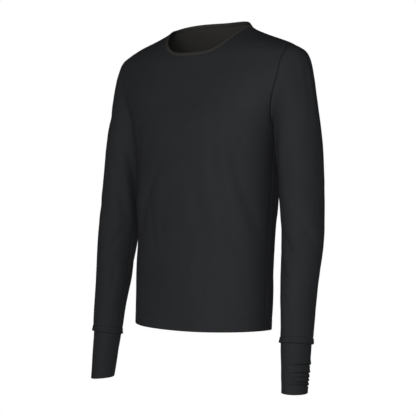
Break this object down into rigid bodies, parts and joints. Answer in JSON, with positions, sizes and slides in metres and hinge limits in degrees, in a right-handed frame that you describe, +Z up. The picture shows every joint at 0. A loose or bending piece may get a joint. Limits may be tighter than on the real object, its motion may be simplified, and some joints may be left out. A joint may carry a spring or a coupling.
{
  "type": "base layer top",
  "caption": "Long-sleeved crew-neck thermal base layer top in black stretch jersey, filled out as worn, with long double cuffs and a narrow neck band.",
  "frame": {"origin": "middle of the shoulder line, halfway between the two points where the shoulder seams meet the neck band, which is where the wearer's shoulders hold the garment up", "axes": "+Z up along the wearer's body, -Y towards the wearer's front, +X towards the wearer's left"},
  "size_m": [0.5786, 0.2543, 0.7884],
  "materials": {
    "jersey": "matt stretch jersey with a fine smooth face",
    "cuff_jersey": "the same jersey, doubled",
    "band_jersey": "folded binding of the same jersey, a little lighter at its fold"
  },
  "bodies": {
    "root": {"front": "jersey", "back": "jersey", "sleeve_left": "jersey", "sleeve_right": "jersey", "cuff_left": "cuff_jersey", "cuff_right": "cuff_jersey", "neck_band": "band_jersey"}
  },
  "joints": []
}
